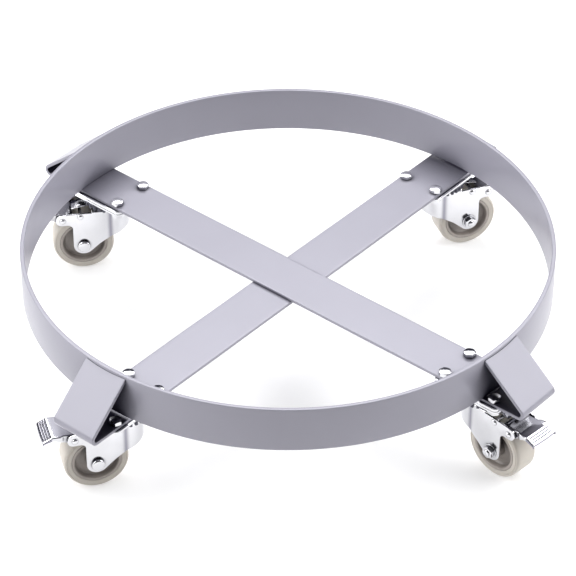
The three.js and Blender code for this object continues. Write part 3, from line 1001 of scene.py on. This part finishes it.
def tyre_shape():
    """The tyre: flat sides with a moulded groove, rounded shoulders and a faintly crowned tread."""
    w = TYRE_HALF_WIDTH
    shoulder = 34.5
    half = [(TYRE_BORE, w - 0.4), (TYRE_BORE + 0.5, w), (33.2, w), (33.6, w - 0.5), (34.1, w - 0.55)]
    half.append((shoulder, w - 0.15))
    for degrees in (15, 30, 45, 60, 75):
        at = math.radians(degrees)
        half.append((shoulder + 3.0 * math.sin(at), w - 0.15 - 4.2 * (1 - math.cos(at))))
    half += [(37.38, 9.2), (37.47, 5.0), (WHEEL_RADIUS, 1.5)]
    return on_axis(turned(mirrored_profile(half), 128), TRAIL, AXLE_Z)


def hub_shape():
    """The wheel's core: boss, dished disc and rim."""
    rim = TYRE_BORE - 0.15
    half = [
        (6.3, HUB_HALF_WIDTH),
        (10.2, HUB_HALF_WIDTH),
        (11.0, HUB_HALF_WIDTH - 0.8),
        (11.6, 8.6),
        (12.8, 7.6),
        (18.0, 6.6),
        (22.2, 7.2),
        (24.0, 9.0),
        (25.0, 13.4),
        (25.6, TYRE_HALF_WIDTH - 0.2),
        (26.4, TYRE_HALF_WIDTH + 0.1),
        (rim - 0.4, TYRE_HALF_WIDTH + 0.1),
        (rim, TYRE_HALF_WIDTH - 0.4),
    ]
    outline = rounded(mirrored_profile(half), 0.6, 2)
    return on_axis(turned(outline, 112), TRAIL, AXLE_Z)


PAD_START = PEDAL_TIP - 10.5
PAD_RUN = 9.8
PAD_MARGIN = 2.6  # between the grooves' ends and the pad's sides
PAD_BOW = 0.9  # how far the pad's tip bulges in plan
PAD_GROOVES = (0.2, 0.46, 0.72)  # along the pad, from its fold to its tip


def pad_painted_shade(point):
    """How much painted shade darkens the pad's skin: dark in its grooves, on its end and on its two flanks.
    """
    across = min(1.0, abs(point.y) / PAD_HALF_WIDTH)
    part = (point.x - PAD_START) / (PAD_RUN * (1 + PAD_BOW / 10 * (1 - across * across)))
    if part < 0.0:
        return 0.0
    if part > 1.03 or abs(point.y) > PAD_HALF_WIDTH - 0.45:
        return 0.85
    if abs(point.y) > PAD_HALF_WIDTH - PAD_MARGIN:
        return 0.0
    return 0.85 * max(hill(part, middle, 0.06) for middle in PAD_GROOVES)


def pedal_line():
    """The deck's top line: heel, pivot, deck, fold and pad, as (x, z, depth of its grooves)."""
    top = PIVOT_Z + 7
    pad = PAD_START
    line = [(PIVOT_X - 12, top - 1.6), (PIVOT_X - 8, top - 0.4), (PIVOT_X - 3, top)]
    line += [(PIVOT_X + 4, top + 0.35), (PIVOT_X + 9, top + 0.8), (PIVOT_X + 11, top + 1.1)]
    line += [(PIVOT_X + 12.5, top + 1.35), (PIVOT_X + 14, top + 1.6), (PIVOT_X + 16, top + 1.9)]
    line += [(pad - 5, top + 2.2), (pad - 1.6, top + 2.5), (pad, top + 2.4)]
    line = [(x, z, 0.0) for x, z in line]
    steps = 60
    for k in range(1, steps + 1):
        part = k / steps
        groove = -0.95 * sum(hill(part, middle, 0.05) for middle in PAD_GROOVES)
        line.append((pad + part * PAD_RUN, top + 2.4 - 5.0 * part, groove))
    line.append((pad + 10.2, top - 3.2, 0.0))
    line.append((pad + 10.4, top - 5.0, 0.0))
    return line


def cheek_depth(x):
    """How far the pedal's cheeks reach down below the deck's top line."""
    behind = PIVOT_X + 12  # the cheeks grow shallow from here on
    if x > PAD_START + 10.2:
        return 2.4
    if x > PAD_START:
        return max(2.8, 4.6 - 2.2 * (x - PAD_START) / 10.0)
    if x >= behind:
        return max(4.6, 9.0 - 6.0 * (x - behind) / (PAD_START - behind))
    depth = 13.2 - 4.2 * max(0.0, (x - PIVOT_X) / 12.0)
    if x < PIVOT_X - 3:
        depth -= 6.5 * (PIVOT_X - 3 - x) / 9.0
    return depth


def pedal_skin():
    """The pedal's outer skin: a deck between two turned-down cheeks, flaring into the pad."""
    across = 26
    radius = 1.6
    columns = []
    for x, z, groove in pedal_line():
        flare = min(1.0, max(0.0, (x - ARM_REAR - 2.5) / 5.0))
        flare = flare * flare * (3 - 2 * flare)
        half = PEDAL_HALF_WIDTH - 0.05 + (PAD_HALF_WIDTH - PEDAL_HALF_WIDTH) * flare
        depth = cheek_depth(x)
        bow = PAD_BOW * max(0.0, (x - PAD_START) / 10.0)
        column = [(x, -half, z - depth), (x, -half, z - (depth + radius) / 2), (x, -half, z - radius)]
        for k in range(1, 5):
            at = math.pi / 2 * k / 5
            column.append((x, -half + radius * (1 - math.cos(at)), z - radius * (1 - math.sin(at))))
        for k in range(across + 1):
            y = (-half + radius) + (2 * half - 2 * radius) * k / across
            # The grooves stop short of the pad's two sides.
            inner = min(1.0, max(0.0, (half - PAD_MARGIN - abs(y)) / 1.2))
            column.append((x + bow * (1 - (y / half) ** 2), y, z + groove * inner))
        for px, py, pz in reversed(column[:7]):
            column.append((px, -py, pz))
        columns.append(column)
    count = len(columns[0])
    verts = [p for column in columns for p in column]
    faces = []
    for i in range(len(columns) - 1):
        for k in range(count - 1):
            low, high = i * count, (i + 1) * count
            faces.append((low + k, low + k + 1, high + k + 1, high + k))
    return verts, faces


def shoe_shape():
    """The brake shoe between the cheeks, just clear of the tread."""
    to_axle = math.degrees(math.atan2(AXLE_Z - PIVOT_Z, TRAIL - PIVOT_X))
    points = []
    for radius, turn in ((4, -60), (4.5, 0), (8, 53), (8, 72), (4.5, 100), (4.5, 150)):
        at = math.radians(to_axle + turn)
        points.append((PIVOT_X + radius * math.cos(at), PIVOT_Z + radius * math.sin(at)))
    outline = rounded(points, 0.8, 3)
    half = PEDAL_HALF_WIDTH - 2.4
    # Drawn as X and Z, then stood up along Y.
    block = slab([(x, -z) for x, z in reversed(outline)], -half, half, 0.5, 2)
    return [(x, height, -y) for x, y, height in block[0]], block[1]


def caster_frame(name):
    """The caster's place for what turns with it, and for what is bolted to the bar."""
    joints = {j["name"]: j for j in frame["joints"]}
    swivel = Vector(joints[f"{name}_swivel"]["pos_m"])
    wheel = Vector(joints[f"{name}_wheel_roll"]["pos_m"])
    stand = Matrix.Translation((swivel.x / MM, swivel.y / MM, 0))
    heading = math.atan2(wheel.y - swivel.y, wheel.x - swivel.x)
    corner = math.atan2(swivel.y, swivel.x)
    return stand @ Matrix.Rotation(heading, 4, "Z"), stand @ Matrix.Rotation(corner, 4, "Z")


FORK_SKIN = facing_out(fork_skin(), ((HEAD_FRONT, 0, 70), (-1, 0, 0)))
PEDAL_SKIN = facing_out(pedal_skin(), ((PIVOT_X + 10, 0, PIVOT_Z + 8), (0, 0, 1)))

for name in CASTERS:
    turning, fixed = caster_frame(name)
    bar = BAR_OF[name]
    seat = UPPER_BAR_TOP if bar == "upper" else LOWER_BAR_TOP
    if bar == "upper":
        outline = rounded(rectangle(PLATE_LENGTH, PLATE_WIDTH), PLATE_CORNER, 8)
        spacer = slab(outline, PLATE_TOP, LOWER_BAR_TOP, 0.6, 3)
        node = f"{name}_spacer_plate"
        piece(f"{node}.cut", spacer, "frame", [node], "plated", PLATED, place=fixed)
    node = f"{name}_mounting_plate"
    piece(f"{node}.pressed", mounting_plate_shape(), "frame", [node], "plated", PLATED, place=fixed)
    piece(f"{name}_lock_ring", lock_ring_shape(), "frame", [], "plated", DARK, place=fixed)
    node = f"{name}_king_pin"
    piece(f"{node}.turned", king_pin_shape(), "frame", [node], "plated", PLATED, place=fixed)
    node = f"{name}_ball_race"
    piece(f"{node}.balls", ball_race_shape(), "frame", [node], "plated", FASTENER, place=fixed)
    number = 0
    for along in (-1, 1):
        for across in (-1, 1):
            number += 1
            # Every bolt stops at its own angle when it is done up.
            spin = turn_z(17.0 * number + 11.0 * CASTERS.index(name))
            hole = Vector((along * BOLT_SPACING_LONG / 2, across * BOLT_SPACING_ACROSS / 2, 0))
            spot = fixed @ Matrix.Translation(hole) @ spin
            node = f"{name}_plate_bolt_{number}"
            bolt = plate_bolt_shape(seat)
            piece(f"{node}.threaded", bolt, "frame", [node], "fastener", FASTENER, place=spot)
    body = f"{name}_fork"
    # painted shade: a painted dark band in the valleys beside the fork's head
    pressed = {"place": turning, "sheet": FORK_WALL, "edge": 0.5, "painted_shade_at": neck_painted_shade}
    piece(f"{body}.pressed", FORK_SKIN, body, [body], "plated", FORK, **pressed)
    piece(f"{body}.trim", fork_trim_shape(), body, [], "plated", PLATED, place=turning)
    piece(f"{body}.spring", spring_shape(), body, [], "plated", PLATED, place=turning)
    node = f"{name}_axle_bolt"
    piece(f"{node}.threaded", axle_shape(), body, [node], "fastener", FASTENER, place=turning)
    node = f"{name}_pedal_pin"
    piece(f"{node}.riveted", pedal_pin_shape(), body, [node], "fastener", FASTENER, place=turning)
    body = f"{name}_wheel"
    piece(f"{name}_tyre.moulded", tyre_shape(), body, [f"{name}_tyre"], "tread", TREAD, place=turning)
    piece(f"{name}_hub.moulded", hub_shape(), body, [f"{name}_hub"], "hub", CORE, place=turning)
    body = f"{name}_pedal"
    node = f"{name}_brake_pedal"
    # painted shade: painted dark bands in the pad's grooves, on its end and on its flanks
    pressed = {"place": turning, "sheet": PEDAL_WALL, "edge": 0.35, "painted_shade_at": pad_painted_shade}
    piece(f"{node}.pressed", PEDAL_SKIN, body, [node], "plated", PEDAL, **pressed)
    piece(f"{node}.shoe", shoe_shape(), body, [], "plated", DARK, place=turning)

# ---------- floor, light and camera ----------


def add_floor():
    mesh = bpy.data.meshes.new("floor")
    reach = 9.0
    corners = [(x, y, 0) for x, y in box_outline(-reach, -reach, reach, reach)]
    mesh.from_pydata(corners, [], [(0, 1, 2, 3)])
    mesh.materials.append(floor_material())
    obj = bpy.data.objects.new("floor", mesh)
    bpy.context.scene.collection.objects.link(obj)


def add_sky():
    """A studio round the dolly: bright overhead, dark along the horizon and dim to the front."""
    world = bpy.data.worlds.new("studio")
    bpy.context.scene.world = world
    world.use_nodes = True
    nodes = world.node_tree.nodes
    links = world.node_tree.links
    nodes.clear()
    output = nodes.new("ShaderNodeOutputWorld")
    background = nodes.new("ShaderNodeBackground")
    where = nodes.new("ShaderNodeTexCoord")
    split = nodes.new("ShaderNodeSeparateXYZ")
    links.new(where.outputs["Generated"], split.inputs["Vector"])
    height = nodes.new("ShaderNodeValToRGB")
    fill_ramp(height, SKY_STOPS)
    links.new(split.outputs["Z"], height.inputs["Fac"])
    front = nodes.new("ShaderNodeMapRange")
    front.interpolation_type = "SMOOTHSTEP"
    # From the camera's side (-Y) round to the far side.
    front.inputs["From Min"].default_value = -0.75
    front.inputs["From Max"].default_value = 0.35
    front.inputs["To Min"].default_value = FRONT_SKY
    front.inputs["To Max"].default_value = 1.0
    links.new(split.outputs["Y"], front.inputs["Value"])
    shade = nodes.new("ShaderNodeVectorMath")
    shade.operation = "SCALE"
    links.new(height.outputs["Color"], shade.inputs[0])
    links.new(front.outputs["Result"], shade.inputs["Scale"])
    links.new(shade.outputs["Vector"], background.inputs["Color"])
    background.inputs["Strength"].default_value = SKY_STRENGTH
    links.new(background.outputs["Background"], output.inputs["Surface"])


def add_light(name, place, width, depth, power):
    """A soft box aimed at the dolly."""
    data = bpy.data.lights.new(name, "AREA")
    data.shape = "RECTANGLE"
    data.size = width
    data.size_y = depth
    data.energy = power
    obj = bpy.data.objects.new(name, data)
    obj.location = place
    obj.rotation_euler = (LIGHT_TARGET - Vector(place)).to_track_quat("-Z", "Y").to_euler()
    bpy.context.scene.collection.objects.link(obj)


LIGHT_TARGET = Vector((0, 0, 0.1))
# By the sine of the elevation: 0 at the horizon and below it, 1 straight up.
SKY_STOPS = [
    (0.0, (0.02, 0.02, 0.035)),
    (0.48, (0.03, 0.03, 0.055)),
    (0.59, (0.12, 0.12, 0.17)),
    (0.65, (0.85, 0.85, 0.9)),
    (1.0, (1.0, 1.0, 1.0)),
]
SKY_STRENGTH = 0.8
FRONT_SKY = 0.12
FLOOR_GLOW = 0.32


# The camera looks from the front: azimuth, elevation and pitch in degrees, distance in metres.
CAMERA_AZIMUTH = -4.69
CAMERA_ELEVATION = 36.78
CAMERA_DISTANCE = 3.4996
CAMERA_PITCH = 0.944569  # the view is pitched down a little, so the hoop sits above the middle
CAMERA_LENS = 188.78
CAMERA_SENSOR = 36


def add_camera():
    aim = Vector((0, 0, HOOP_TOP * MM))
    azimuth, elevation = math.radians(CAMERA_AZIMUTH), math.radians(CAMERA_ELEVATION)
    level = math.cos(elevation)
    back = Vector((math.sin(azimuth) * level, -math.cos(azimuth) * level, math.sin(elevation)))
    place = aim + back * CAMERA_DISTANCE
    pitch = math.radians(CAMERA_PITCH)
    right = Vector((math.cos(azimuth), math.sin(azimuth), 0))
    up = back.cross(right)
    tilted = (back * math.cos(pitch) + up * math.sin(pitch)).normalized()
    upright = tilted.cross(right)
    data = bpy.data.cameras.new("camera")
    data.sensor_width = CAMERA_SENSOR
    data.lens = CAMERA_LENS
    data.clip_end = 50
    obj = bpy.data.objects.new("camera", data)
    axes = Matrix((right, upright, tilted)).transposed().to_4x4()
    obj.matrix_world = Matrix.Translation(place) @ axes
    bpy.context.scene.collection.objects.link(obj)
    bpy.context.scene.camera = obj


add_floor()
add_sky()
for name, side in (("side_left", -1), ("side_right", 1)):
    add_light(name, (side * 2.65, 0.0, 1.75), 3.2, 2.6, 114)
add_light("key", (0.0, 2.23, 2.81), 3.2, 1.5, 76)
add_camera()

scene = bpy.context.scene
scene.view_settings.view_transform = "Standard"
scene.view_settings.look = "None"
scene.view_settings.exposure = 0.0
scene.view_settings.gamma = 1.0
